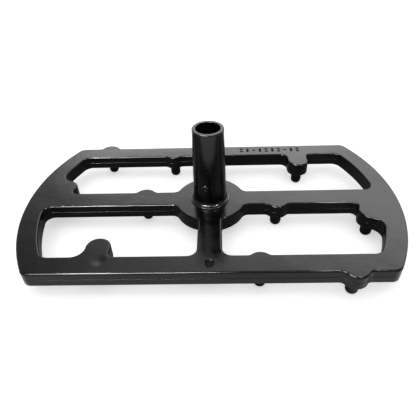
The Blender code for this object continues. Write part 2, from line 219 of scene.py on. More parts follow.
# The floor and the world. The painted shade, a dark patch that mirror rays see on the floor under the frame,
# goes from nothing at the first distance to its full depth at the second.
FLOOR_HALF = 6.0
FLOOR_GREY = 0.9
FLOOR_ROUGHNESS = 0.8
FLOOR_GLOW = 0.55
SHADE_ENDS = (RIM_OUTER + 0.010, RIM_OUTER - 0.004)
SHADE_SIDES = (0.084, 0.072)
SHADE_DEPTH = 0.80
WORLD_GREY = 0.40
BACKDROP_LIFT = 0.45

# Each lamp's name, place, target, size and power, whether surfaces mirror it, and whether it lights them
LAMPS = (
    ("overhead", (0.0, 0.0, 1.6), (0.0, 0.0, 0.0), (5.0, 5.0), 70.0, False, True),
    ("edge_strip", (-0.31, -0.58, 0.93), (-0.31, -0.10, 0.0), (0.56, 0.22), 37.0, True, False),
    ("left_glint", (-0.42, -0.24, 1.04), (0.0, 0.0, 0.0), (0.08, 0.08), 16.0, True, False),
    ("right_glint", (0.42, -0.24, 1.04), (0.0, 0.0, 0.0), (0.08, 0.08), 10.0, True, False),
)

# The camera, solved from the photographed object's straight bars and arcs
CAMERA_PITCH = 0.68524
CAMERA_YAW = -0.03319
CAMERA_ROLL = 0.03615
CAMERA_LENS = 34.19
CAMERA_SENSOR = 36.0
CAMERA_NEAR = 0.01
CAMERA_PLACE = (0.007475, -0.240318, FRAME_TOP + 0.184502)


# The outline kit. A chain of straight edges and arcs is walked with a fillet from each one to the next. An
# edge runs through (x, y) along its heading. An arc's turn is 1 anticlockwise and -1 clockwise.
Edge = namedtuple("Edge", "x y heading")
Arc = namedtuple("Arc", "x y radius turn steps")
Link = namedtuple("Link", "curve fillet steps")


def shifted_left(curve, distance):
    if isinstance(curve, Edge):
        x = curve.x - distance * math.sin(curve.heading)
        y = curve.y + distance * math.cos(curve.heading)
        return curve._replace(x=x, y=y)
    return curve._replace(radius=curve.radius - curve.turn * distance)


def edges_meet(first, second):
    way = Vector((math.cos(first.heading), math.sin(first.heading)))
    normal = Vector((-math.sin(second.heading), math.cos(second.heading)))
    start = Vector((first.x, first.y))
    along = (Vector((second.x, second.y)) - start).dot(normal) / way.dot(normal)
    return start + way * along


def edge_meets_arc(edge, arc, ahead):
    """The crossing past the arc's centre, as the edge runs, or the one before it."""
    way = Vector((math.cos(edge.heading), math.sin(edge.heading)))
    start = Vector((edge.x, edge.y))
    to_centre = Vector((arc.x, arc.y)) - start
    along = to_centre.dot(way)
    across = (to_centre - way * along).length
    half_chord = math.sqrt(arc.radius**2 - across**2)
    return start + way * (along + (half_chord if ahead else -half_chord))


def arcs_meet(first, second):
    """The crossing on the right of the line from the first centre to the second."""
    start = Vector((first.x, first.y))
    between = Vector((second.x, second.y)) - start
    along = (first.radius**2 - second.radius**2 + between.length_squared) / (2 * between.length)
    across = math.sqrt(first.radius**2 - along**2)
    way = between.normalized()
    return start + way * along + Vector((way.y, -way.x)) * across


def fillet_centre(first, second, fillet):
    """Fillets above zero lie on the left of the walk, and those below zero on the right."""
    first, second = shifted_left(first, fillet), shifted_left(second, fillet)
    if isinstance(first, Edge) and isinstance(second, Edge):
        return edges_meet(first, second)
    if isinstance(first, Arc) and isinstance(second, Arc):
        return arcs_meet(first, second)
    if isinstance(first, Edge):
        return edge_meets_arc(first, second, second.turn * fillet > 0)
    return edge_meets_arc(second, first, first.turn * fillet < 0)


def touch_point(curve, centre):
    """Where a fillet about this centre touches the curve."""
    if isinstance(curve, Edge):
        way = Vector((math.cos(curve.heading), math.sin(curve.heading)))
        start = Vector((curve.x, curve.y))
        return start + way * (centre - start).dot(way)
    middle = Vector((curve.x, curve.y))
    return middle + (centre - middle).normalized() * curve.radius


def arc_points(centre, start, end, turn, steps):
    """The points of an arc from start to end, both included."""
    first = math.atan2(start.y - centre.y, start.x - centre.x)
    last = math.atan2(end.y - centre.y, end.x - centre.x)
    sweep = turn * ((turn * (last - first)) % math.tau)
    radius = (start - centre).length
    angles = (first + sweep * step / steps for step in range(steps + 1))
    return [centre + radius * Vector((math.cos(a), math.sin(a))) for a in angles]


def outline(chain, shift):
    """The closed outline of a chain, moved left of its walk by shift. Its point count never changes."""
    curves = [shifted_left(link.curve, shift) for link in chain]
    fillets = []
    for index, link in enumerate(chain):
        radius = link.fillet - shift
        first, second = curves[index], curves[(index + 1) % len(chain)]
        centre = fillet_centre(first, second, radius)
        ends = touch_point(first, centre), touch_point(second, centre)
        fillets.append((centre, ends, math.copysign(1, radius), link.steps))
    points = []
    for index, curve in enumerate(curves):
        centre, (start, end), turn, steps = fillets[index]
        if isinstance(curve, Arc):
            before = fillets[index - 1][1][1]
            middle = Vector((curve.x, curve.y))
            points += arc_points(middle, before, start, curve.turn, curve.steps)[1:-1]
        points += arc_points(centre, start, end, turn, steps)
    return points


def half_turned(chain):
    mates = []
    for curve, fillet, steps in chain:
        mate = curve._replace(x=-curve.x, y=-curve.y)
        if isinstance(curve, Edge):
            mate = mate._replace(heading=curve.heading + math.pi)
        mates.append(Link(mate, fillet, steps))
    return mates


def link(curve, fillet, steps=FILLET_STEPS):
    return Link(curve, fillet, steps)


def lobe(nozzle, turn):
    return Arc(*NOZZLES[nozzle], LOBE_RADIUS, turn, LOBE_STEPS)


def rim(radius):
    return Arc(0.0, 0.0, radius, 1, END_STEPS)


def outer_chain():
    """The frame's outer edge, walked anticlockwise."""
    back_edge = Edge(0.0, LONG_BAR_OUTER, WEST)
    half = [
        link(back_edge, -LOBE_FILLET),
        link(lobe("rear_left", 1), -LOBE_FILLET),
        link(back_edge, CORNER_FILLET),
        link(rim(RIM_OUTER), CORNER_FILLET),
    ]
    return half + half_turned(half)


def left_window_chain():
    """The window behind the middle bar on the left, walked anticlockwise."""
    middle_edge = Edge(0.0, MIDDLE_BAR_HALF, EAST)
    back_edge = Edge(0.0, LONG_BAR_INNER, WEST)
    return [
        link(middle_edge, LOBE_FILLET),
        link(lobe("middle_left", -1), LOBE_FILLET),
        link(middle_edge, HUB_FILLET),
        link(Arc(0.0, 0.0, HUB_RADIUS, -1, HUB_STEPS), STEM_HUB_FILLET),
        link(Edge(-STEM_HALF, 0.0, NORTH), STEM_BAR_FILLET),
        link(back_edge, LOBE_FILLET),
        link(lobe("rear_centre", -1), LOBE_FILLET),
        link(back_edge, WINDOW_CORNER_FILLET),
        link(rim(RIM_INNER), END_LOBE_FILLET),
        link(lobe("end_left", -1), END_LOBE_FOOT_FILLET),
    ]


def right_window_chain(arm_fillets):
    """The window behind the middle bar on the right, walked anticlockwise."""
    east_fillet, west_fillet = arm_fillets
    back_edge = Edge(0.0, LONG_BAR_INNER, WEST)
    x, y = NOZZLES["rear_right"]
    return [
        link(Edge(0.0, MIDDLE_BAR_HALF, EAST), WINDOW_FOOT_FILLET),
        link(rim(RIM_INNER), WINDOW_CORNER_FILLET),
        link(back_edge, east_fillet),
        link(Edge(x + LOBE_RADIUS, 0.0, SOUTH), -ARM_CORNER, LOBE_STEPS),
        link(Edge(0.0, y - LOBE_RADIUS, WEST), -ARM_CORNER, LOBE_STEPS),
        link(Edge(x - LOBE_RADIUS, 0.0, NORTH), west_fillet),
        link(back_edge, STEM_BAR_FILLET),
        link(Edge(STEM_HALF, 0.0, SOUTH), STEM_HUB_FILLET),
        link(Arc(0.0, 0.0, HUB_RADIUS, -1, HUB_STEPS), HUB_FILLET),
    ]


def frame_outlines(inset):
    """The outer edge and the four windows, moved into the frame's material by inset."""
    windows = [
        left_window_chain(),
        right_window_chain(REAR_ARM_FILLETS),
        half_turned(left_window_chain()),
        half_turned(right_window_chain(FRONT_ARM_FILLETS)),
    ]
    return [outline(outer_chain(), inset)] + [outline(chain, -inset) for chain in windows]


# Mesh helpers
def rounded(corner, radius, first, last, steps):
    """Profile points round a corner's centre of curvature, from one angle to another."""
    across, height = corner
    angles = (first + (last - first) * step / steps for step in range(steps + 1))
    return [(across + radius * math.cos(a), height + radius * math.sin(a)) for a in angles]


def quarter_angles(steps):
    return [QUARTER * step / steps for step in range(steps + 1)]


def join_rings(bm, rings, caps):
    """Faces from each ring to the next. The first and last ring's edges go to the two caps."""
    for upper, lower in zip(rings, rings[1:]):
        for index in range(len(upper)):
            bm.faces.new((upper[index - 1], upper[index], lower[index], lower[index - 1]))
    for cap, ring in zip(caps, (rings[0], rings[-1])):
        cap += [bm.edges.get((ring[index - 1], ring[index])) for index in range(len(ring))]


def circle(place, radius, height, steps):
    angles = (math.tau * step / steps for step in range(steps))
    return [(place[0] + radius * math.cos(a), place[1] + radius * math.sin(a), height) for a in angles]


def shell_mesh(name, levels, holes):
    """A shell whose section follows levels, each an inset and a height, from outer face to inner face.

    A hole is its place in plan, its facets, and its profile of (radius, height) between the same two faces.
    """
    bm = bmesh.new()
    caps = ([], [])
    loops_by_level = [frame_outlines(inset) for inset, _ in levels]
    for loops in zip(*loops_by_level):
        rings = []
        for points, (_, height) in zip(loops, levels):
            rings.append([bm.verts.new((x, y, height)) for x, y in points])
        join_rings(bm, rings, caps)
    for place, steps, profile in holes:
        rings = []
        for radius, height in profile:
            rings.append([bm.verts.new(point) for point in circle(place, radius, height, steps)])
        join_rings(bm, rings, caps)
    for cap in caps:
        bmesh.ops.triangle_fill(bm, use_beauty=True, edges=cap)
    return finished_mesh(bm, name)


def turned_mesh(name, profile, steps):
    """A solid of revolution about Z. The profile is a closed ring of (radius, height) points."""
    bm = bmesh.new()
    verts = [bm.verts.new((radius, 0.0, height)) for radius, height in profile]
    edges = [bm.edges.new((verts[index - 1], verts[index])) for index in range(len(verts))]
    bmesh.ops.spin(bm, geom=verts + edges, cent=(0, 0, 0), axis=(0, 0, 1), angle=math.tau, steps=steps)
    bmesh.ops.remove_doubles(bm, verts=bm.verts, dist=WELD)
    return finished_mesh(bm, name)


def shaded(mesh):
    """The mesh with smooth shading, broken at its sharp edges."""
    mesh.shade_smooth()
    mesh.set_sharp_from_angle(angle=SHARP_ANGLE)
    return mesh


def finished_mesh(bm, name):
    bmesh.ops.recalc_face_normals(bm, faces=bm.faces)
    mesh = bpy.data.meshes.new(name)
    bm.to_mesh(mesh)
    bm.free()
    return shaded(mesh)


def add_object(name, data):
    obj = bpy.data.objects.new(name, data)
    bpy.context.scene.collection.objects.link(obj)
    return obj


def stand_in(mesh, cad_node, slot, *materials):
    """A piece that stands for a CAD node, rides on the one body and keeps its flat faces flat in shading."""
    obj = add_object(mesh.name, mesh)
    for material in materials:
        mesh.materials.append(material)
    flatten = obj.modifiers.new("flat_faces", "WEIGHTED_NORMAL")
    flatten.keep_sharp = True
    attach(obj, "root")
    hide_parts(cad_node)


def moved(mesh, matrix):
    mesh.transform(matrix)
    return mesh


def cut_out(mesh, cutter_mesh):
    """The mesh with the cutter's shape taken out of it."""
    target = add_object("target", mesh)
    cutter = add_object("cutter", cutter_mesh)
    boolean = target.modifiers.new("cut", "BOOLEAN")
    boolean.operation = "DIFFERENCE"
    boolean.solver = "EXACT"
    boolean.object = cutter
    graph = bpy.context.evaluated_depsgraph_get()
    result = bpy.data.meshes.new_from_object(target.evaluated_get(graph))
    result.name = mesh.name
    bpy.data.objects.remove(target)
    bpy.data.objects.remove(cutter)
    return shaded(result)


# Materials
def feed(tree, socket, value):
    """Links value to socket if it is another node's output, or else sets it there as a constant."""
    if isinstance(value, bpy.types.NodeSocket):
        tree.links.new(value, socket)
    else:
        socket.default_value = value


def node(tree, kind, settings=None, **inputs):
    """A shader node. An input's name has _ for each space."""
    made = tree.nodes.new(kind)
    for key, value in (settings or {}).items():
        setattr(made, key, value)
    for key, value in inputs.items():
        feed(tree, made.inputs[key.replace("_", " ")], value)
    return made


def noise(tree, where, scale, detail, roughness):
    return node(
        tree, "ShaderNodeTexNoise", Vector=where, Scale=scale, Detail=detail, Roughness=roughness
    ).outputs[0]


def spread(tree, value, low, high, to_low, to_high, course="LINEAR"):
    """Goes from to_low at low to to_high at high, and stays level past both."""
    return node(
        tree,
        "ShaderNodeMapRange",
        {"interpolation_type": course},
        Value=value,
        From_Min=low,
        From_Max=high,
        To_Min=to_low,
        To_Max=to_high,
    ).outputs[0]


def smooth(tree, value, low, high, to_low, to_high):
    return spread(tree, value, low, high, to_low, to_high, "SMOOTHSTEP")


def mixed(tree, factor, first, second):
    """A colour between two others. The sockets of a Mix node share their names, so they are set by place."""
    mix = node(tree, "ShaderNodeMix", {"data_type": "RGBA"})
    for index, value in ((0, factor), (6, first), (7, second)):
        feed(tree, mix.inputs[index], value)
    return mix.outputs[2]


def mixed_shader(tree, factor, first, second):
    mix = node(tree, "ShaderNodeMixShader")
    for index, value in enumerate((factor, first, second)):
        feed(tree, mix.inputs[index], value)
    return mix.outputs[0]


def maths(tree, operation, *values):
    made = node(tree, "ShaderNodeMath", {"operation": operation})
    for index, value in enumerate(values):
        feed(tree, made.inputs[index], value)
    return made.outputs[0]


def product(tree, first, *others):
    for other in others:
        first = maths(tree, "MULTIPLY", first, other)
    return first


def grey(value):
    """A very slightly blue grey."""
    return (value, value, value * 1.03, 1.0)


def blank_material(name):
    material = bpy.data.materials.new(name)
    material.use_nodes = True
    tree = material.node_tree
    return material, tree, tree.nodes["Principled BSDF"]


def bumped(tree, layers):
    """Bumps laid over each other. A layer is its height socket, its strength and its distance."""
    normal = None
    for height, strength, distance in layers:
        bump = node(tree, "ShaderNodeBump", Height=height, Strength=strength, Distance=distance)
        if normal:
            tree.links.new(normal, bump.inputs["Normal"])
        normal = bump.outputs[0]
    return normal


def enamel(name, dark, light, roughness, gloss, wear=0.35, sink=None):
    """Glossy black coating: orange peel, faint flow streaks, duller patches, and paler, duller rubbed edges.

    sink is the place and reach of a shallow sink mark.
    """
    material, tree, shader = blank_material(name)
    where = node(tree, "ShaderNodeTexCoord").outputs["Object"]
    stretched = node(tree, "ShaderNodeMapping", Vector=where, Scale=(0.22, 1.0, 1.0)).outputs[0]
    patches = noise(tree, stretched, 95.0, 5.0, 0.6)
    grain = noise(tree, where, 1500.0, 3.0, 0.6)
    peel = noise(tree, where, 420.0, 2.0, 0.5)
    swell = noise(tree, where, 38.0, 2.0, 0.4)
    convex = node(tree, "ShaderNodeNewGeometry").outputs["Pointiness"]
    edges = spread(tree, convex, 0.53, 0.62, 0.0, wear)
    rubbed = product(tree, edges, spread(tree, patches, 0.35, 0.65, 0.2, 1.0))
    base = mixed(tree, spread(tree, patches, 0.3, 0.7, 0.0, 1.0), grey(dark), grey(light))
    dust = noise(tree, where, 260.0, 9.0, 0.75)
    base = mixed(tree, spread(tree, dust, 0.52, 0.75, 0.0, 0.8), base, grey(0.012))
    tree.links.new(mixed(tree, rubbed, base, grey(light * 4)), shader.inputs["Base Color"])
    dull = spread(tree, patches, 0.3, 0.7, roughness * 0.85, roughness * 1.25)
    fine = spread(tree, grain, 0.3, 0.7, -0.03, 0.03)
    total = maths(tree, "ADD", maths(tree, "ADD", dull, fine), product(tree, rubbed, 0.25))
    tree.links.new(total, shader.inputs["Roughness"])
    shader.inputs["IOR"].default_value = 1.5
    shader.inputs["Specular IOR Level"].default_value = gloss
    layers = [(swell, 0.6, 0.0008), (peel, 0.32, 0.00022), (grain, 0.4, 0.00006)]
    if sink:
        place, reach = sink
        away = node(tree, "ShaderNodeVectorMath", {"operation": "DISTANCE"})
        tree.links.new(where, away.inputs[0])
        away.inputs[1].default_value = place
        layers.append((smooth(tree, away.outputs["Value"], 0.0, reach, 0.0, 1.0), 1.0, 0.00045))
    tree.links.new(bumped(tree, layers), shader.inputs["Normal"])
    return material


def machined(name, colour, metallic, roughness, gloss=0.5):
    """Turned or cut stock: fine circular tool marks about the tube's axis and a mottled tone."""
    material, tree, shader = blank_material(name)
    where = node(tree, "ShaderNodeTexCoord").outputs["Object"]
    mottle = noise(tree, where, 700.0, 5.0, 0.6)
    flecks = noise(tree, where, 2400.0, 3.0, 0.6)
    dark = tuple(0.72 * channel for channel in colour)
    base = mixed(tree, spread(tree, mottle, 0.3, 0.7, 0.0, 1.0), (*dark, 1.0), (*colour, 1.0))
    tree.links.new(base, shader.inputs["Base Color"])
    shader.inputs["Metallic"].default_value = metallic
    shader.inputs["Specular IOR Level"].default_value = gloss
    total = spread(tree, flecks, 0.25, 0.75, roughness * 0.75, roughness * 1.3)
    tree.links.new(total, shader.inputs["Roughness"])
    marks = node(
        tree,
        "ShaderNodeTexWave",
        {"wave_type": "RINGS", "rings_direction": "Z"},
        Vector=where,
        Scale=TOOL_MARK_SCALE,
        Distortion=0.6,
        Detail=2.0,
    ).outputs[1]
    layers = ((marks, 0.25, 0.00004), (mottle, 0.2, 0.00006))
    tree.links.new(bumped(tree, layers), shader.inputs["Normal"])
    return material


def rubber(name, dark, light, roughness):
    """Pressed sealing material: matt, speckled and slightly pitted."""
    material, tree, shader = blank_material(name)
    where = node(tree, "ShaderNodeTexCoord").outputs["Object"]
    specks = noise(tree, where, 1800.0, 4.0, 0.65)
    clouds = noise(tree, where, 240.0, 3.0, 0.5)
    base = mixed(tree, spread(tree, specks, 0.35, 0.65, 0.0, 1.0), grey(dark), grey(light))
    tree.links.new(base, shader.inputs["Base Color"])
    total = spread(tree, clouds, 0.3, 0.7, roughness * 0.8, roughness * 1.2)
    tree.links.new(total, shader.inputs["Roughness"])
    layers = ((clouds, 0.2, 0.0001), (specks, 0.3, 0.00004))
    tree.links.new(bumped(tree, layers), shader.inputs["Normal"])
    return material


# The frame's two shells
def edge_round(outer, radius, inward, steps):
    """Levels round an outer edge, from the face to the side. inward is the way into the shell."""
    return [
        (radius * (1 - math.sin(a)), outer + inward * radius * (1 - math.cos(a)))
        for a in quarter_angles(steps)
    ]


def hole_profile(radius, rounding, outer, inner):
    """A plain hole from the outer face to the inner one, with its outer edge rounded."""
    inward = math.copysign(1, inner - outer)
    mouth = edge_round(outer, rounding, inward, HOLE_ROUND_STEPS)
    return [(radius + inset, height) for inset, height in mouth] + [(radius, inner)]


def recess_profile(outer, inner):
    """A rivet's recess, then its shank's hole. The recess's edge is washed out a little past the CAD's."""
    inward = math.copysign(1, inner - outer)
    seat = outer + inward * RIVET_RECESS_DEPTH
    hole = RIVET_SHANK_RADIUS + GAP
    recess = hole_profile(RIVET_HEAD_RADIUS + GAP, RIVET_RECESS_ROUND, outer, seat)
    return recess + [(hole, seat), (hole, inner)]


def make_upper_shell(material):
    seam = SPLIT + SEAM / 2
    inner = FRAME_TOP - WALL
    levels = edge_round(FRAME_TOP, TOP_ROUND, -1, TOP_ROUND_STEPS)
    levels += reversed(edge_round(seam, UPPER_SEAM_ROUND, 1, SEAM_ROUND_STEPS))
    levels += [
        (SKIRT + GAP, seam),
        (SKIRT + GAP, SPLIT - TONGUE),
        (WALL, SPLIT - TONGUE),
        (WALL, inner),
    ]
    holes = [((0.0, 0.0), TUBE_STEPS, hole_profile(SPIGOT_RADIUS + GAP, EASE, FRAME_TOP, inner))]
    for side in (-1, 1):
        holes.append(((0.0, side * RIVET_OFFSET), ROUND_STEPS, recess_profile(FRAME_TOP, inner)))
    mesh = shell_mesh("upper_shell_skin", levels, holes)
    stand_in(mesh, "frame_upper_shell", "frame_black", material)


def make_lower_shell(material):
    seam = SPLIT - SEAM / 2
    inner = FRAME_BOTTOM + WALL
    ceiling = FRAME_TOP - WALL - GAP
    levels = edge_round(FRAME_BOTTOM, LOW_ROUND, 1, LOW_ROUND_STEPS)
    levels += reversed(edge_round(seam, LOWER_SEAM_ROUND, -1, SEAM_ROUND_STEPS))
    levels += [
        (SKIRT, seam),
        (SKIRT, SPLIT - TONGUE - GAP),
        (WALL, SPLIT - TONGUE - GAP),
        (WALL, inner),
    ]
    holes = []
    bore = NOZZLE_SHANK_RADIUS + GAP
    top = FRAME_BOTTOM + SOCKET_HEIGHT
    for place in NOZZLES.values():
        profile = hole_profile(bore, EASE, FRAME_BOTTOM, top)
        profile += [(SOCKET_RADIUS, top), (SOCKET_RADIUS, inner)]
        holes.append((place, ROUND_STEPS, profile))
    for side in (-1, 1):
        profile = recess_profile(FRAME_BOTTOM, ceiling)
        profile += [(RIVET_POST_RADIUS, ceiling), (RIVET_POST_RADIUS, inner)]
        holes.append(((0.0, side * RIVET_OFFSET), ROUND_STEPS, profile))
    mesh = shell_mesh("lower_shell_skin", levels, holes)
    stand_in(mesh, "frame_lower_shell", "frame_black", material)


# The supply tube and its fittings
def tube_profile():
    """The tube's section about its axis, with heights from the frame's top face."""
    height = TUBE_RIM - FRAME_TOP
    underside = 2 * GAP + SEAL_THICKNESS
    ledge = underside + FOOT_THICKNESS
    lip = RIM_ROUNDING / 2
    low, high = ledge + FOOT_RISE, height - RIM_ROUNDING
    points = rounded((TUBE_BORE + lip, height - lip), lip, QUARTER, math.pi, LIP_STEPS)[::-1]
    points += rounded((TUBE_RADIUS - RIM_ROUNDING, high), RIM_ROUNDING, QUARTER, 0.0, RIM_STEPS)
    for step in range(1, WALL_STEPS):
        share = step / WALL_STEPS
        points.append((TUBE_RADIUS + (TUBE_ROOT_RADIUS - TUBE_RADIUS) * share, high + (low - high) * share))
    for angle in quarter_angles(FLARE_STEPS):
        flare = (FOOT_RADIUS - EASE - TUBE_ROOT_RADIUS) * (1 - math.cos(angle))
        points.append((TUBE_ROOT_RADIUS + flare, ledge + FOOT_RISE * (1 - math.sin(angle))))
    points += rounded((FOOT_RADIUS - EASE, ledge - EASE), EASE, QUARTER, 0.0, EASE_STEPS)[1:]
    points += [
        (FOOT_RADIUS, underside),
        (SPIGOT_RADIUS, underside),
        (SPIGOT_RADIUS, -SPIGOT_LENGTH + LEAD_IN),
        (SPIGOT_RADIUS - LEAD_IN, -SPIGOT_LENGTH),
        (TUBE_BORE, -SPIGOT_LENGTH),
    ]
    return points


def screw_matrix():
    """The test screw's frame: its seat's centre, with local Z pointing out of the tube."""
    outward = Vector((math.cos(TEST_SCREW_BEARING), math.sin(TEST_SCREW_BEARING), 0.0))
    seat = outward * TEST_SCREW_SEAT + Vector((0.0, 0.0, FRAME_TOP + TEST_SCREW_HEIGHT))
    return Matrix.Translation(seat) @ outward.to_track_quat("Z", "Y").to_matrix().to_4x4()


def plug_mesh(name, radius, low, high, steps):
    return turned_mesh(name, [(0.0, high), (radius, high), (radius, low), (0.0, low)], steps)


def make_supply_tube(coating, cut_face):
    mesh = turned_mesh("supply_tube_skin", tube_profile(), TUBE_STEPS)
    moved(mesh, Matrix.Translation((0.0, 0.0, FRAME_TOP)))
    seat = plug_mesh("seat", TEST_HEAD_RADIUS + GAP, 0.0, 2 * TEST_HEAD_HEIGHT, ROUND_STEPS)
    mesh = cut_out(mesh, moved(seat, screw_matrix()))
    hole = plug_mesh("hole", TEST_SHANK_RADIUS + GAP, -TUBE_BORE / 2, CUT_OVERRUN, ROUND_STEPS)
    mesh = cut_out(mesh, moved(hole, screw_matrix()))
    stand_in(mesh, "supply_tube", "tube_black", coating, cut_face)
    for face in mesh.polygons:
        on_rim = face.center.z > TUBE_RIM - RIM_FACE_DEPTH and face.normal.z > RIM_FACE_LEVEL
        face.material_index = 1 if on_rim else 0


def make_test_screw(material):
    head, shank = TEST_HEAD_RADIUS, TEST_SHANK_RADIUS
    tip = TUBE_BORE + TEST_TIP_INSET - TEST_SCREW_SEAT
    top = GAP + TEST_HEAD_HEIGHT
    edge, crown = GAP + TEST_HEAD_EDGE, TEST_HEAD_HEIGHT - TEST_HEAD_EDGE
    profile = [(0.0, top)]
    for angle in quarter_angles(DOME_STEPS)[1:]:
        profile.append((head * math.sin(angle), edge + crown * math.cos(angle)))
    profile += [(head, GAP + TEST_HEAD_CHAMFER), (head - TEST_HEAD_CHAMFER, GAP)]
    profile += [(shank, GAP), (shank, tip + EASE), (shank - EASE, tip), (0.0, tip)]
    mesh = turned_mesh("test_screw_skin", profile, ROUND_STEPS)
    bm = bmesh.new()
    size = Matrix.Diagonal((2 * head + CUT_OVERRUN, TEST_SLOT_WIDTH, 2 * TEST_SLOT_DEPTH, 1.0))
    bmesh.ops.create_cube(bm, size=1.0, matrix=Matrix.Translation((0.0, 0.0, top)) @ size)
    mesh = cut_out(mesh, finished_mesh(bm, "slot"))
    stand_in(moved(mesh, screw_matrix()), "pressure_test_screw", "fastener_black", material)


def make_seal(material):
    inner, outer = SPIGOT_RADIUS + GAP, SEAL_RADIUS
    low, high = FRAME_TOP + GAP, FRAME_TOP + GAP + SEAL_THICKNESS
    half = SEAL_THICKNESS / 2
    profile = rounded((inner + half, low + half), half, 3 * QUARTER, QUARTER, SEAL_INNER_STEPS)
    profile += rounded((outer - half, high - half), half, QUARTER, -QUARTER, SEAL_OUTER_STEPS)
    mesh = turned_mesh("foot_seal_skin", profile, TUBE_STEPS)
    stand_in(mesh, "tube_foot_seal", "seal_grey", material)


def make_rivets(material):
    seat = RIVET_RECESS_DEPTH - GAP
    top, bottom = FRAME_TOP - seat, FRAME_BOTTOM + seat
    head, shank = RIVET_HEAD_RADIUS, RIVET_SHANK_RADIUS
    dome = []
    for angle in quarter_angles(DOME_STEPS):
        share = RIVET_EDGE_SHARE + (1 - RIVET_EDGE_SHARE) * math.cos(angle)
        dome.append((head * math.sin(angle), RIVET_HEAD_THICKNESS * share))
    profile = [(across, top + rise) for across, rise in dome] + [(head, top), (shank, top)]
    profile += [(shank, bottom), (head, bottom)]
    profile += [(across, bottom - rise) for across, rise in reversed(dome)]
    for side, y in (("front", -RIVET_OFFSET), ("rear", RIVET_OFFSET)):
        mesh = turned_mesh(f"{side}_rivet_skin", profile, ROUND_STEPS)
        moved(mesh, Matrix.Translation((0.0, y, 0.0)))
        stand_in(mesh, f"{side}_clamp_rivet", "fastener_black", material)


def make_nozzles(coating, brass):
    shoulder = FRAME_BOTTOM - GAP
    shank = NOZZLE_SHANK_RADIUS
    top = FRAME_BOTTOM + NOZZLE_SHANK
    profile = [(NOZZLE_BORE, top), (shank - EASE, top), (shank, top - EASE), (shank, shoulder)]
    corner = (NOZZLE_RADIUS - FINE_EASE, shoulder - FINE_EASE)
    profile += rounded(corner, FINE_EASE, QUARTER, 0.0, FINE_EASE_STEPS)
    for angle in quarter_angles(TIP_STEPS):
        across = NOZZLE_TIP_RADIUS + (NOZZLE_RADIUS - NOZZLE_TIP_RADIUS) * math.cos(angle)
        profile.append((across, NOZZLE_CONE * (1 - math.sin(angle))))
    profile += [(NOZZLE_OUTLET + FINE_EASE, 0.0), (NOZZLE_OUTLET, FINE_EASE)]
    profile += [(NOZZLE_OUTLET, NOZZLE_FLOOR), (NOZZLE_BORE, NOZZLE_FLOOR)]
    low = NOZZLE_FLOOR + GAP
    high = low + JET_LENGTH
    outer = NOZZLE_BORE - GAP
    jet_profile = [(JET_ORIFICE, high - FINE_EASE), (JET_ORIFICE + FINE_EASE, high), (outer - EASE, high)]
    jet_profile += [(outer, high - EASE), (outer, low + EASE), (outer - EASE, low)]
    jet_profile += [(JET_ORIFICE + LEAD_IN, low), (JET_ORIFICE, low + LEAD_IN)]
    for name, (x, y) in NOZZLES.items():
        place = Matrix.Translation((x, y, 0.0))
        body = moved(turned_mesh(f"nozzle_{name}_skin", profile, ROUND_STEPS), place)
        stand_in(body, f"nozzle_{name}", "nozzle_black", coating)
        jet = moved(turned_mesh(f"jet_{name}_skin", jet_profile, ROUND_STEPS), place)
        stand_in(jet, f"jet_{name}", "jet_brass", brass)


def make_mark_pads(material):
    """Raised pads in a row on the back bar's top: a plain pattern where the real bar carries a marking."""
    bm = bmesh.new()
    for index, group in enumerate(MARKS):
        for offset, width, depth in group:
            place = Matrix.Translation((MARK_START + MARK_PITCH * index, MARK_ROW + offset, FRAME_TOP))
            size = Matrix.Diagonal((width, depth, 2 * MARK_HEIGHT, 1.0))
            bmesh.ops.create_cube(bm, size=1.0, matrix=place @ size)
    bmesh.ops.bevel(
        bm,
        geom=bm.edges[:],
        offset=MARK_BEVEL,
        segments=2,
        profile=0.5,
        affect="EDGES",
        clamp_overlap=True,
    )
    pads = add_object("frame_mark_pads", finished_mesh(bm, "frame_mark_pads"))
    pads.data.materials.append(material)
    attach(pads, "root")


def dress_nut(material):
    """The retaining nut keeps its CAD mesh and takes a metal of its own."""
    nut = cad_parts["tube_retaining_nut"]
    nut.data.materials.clear()
    nut.data.materials.append(material)


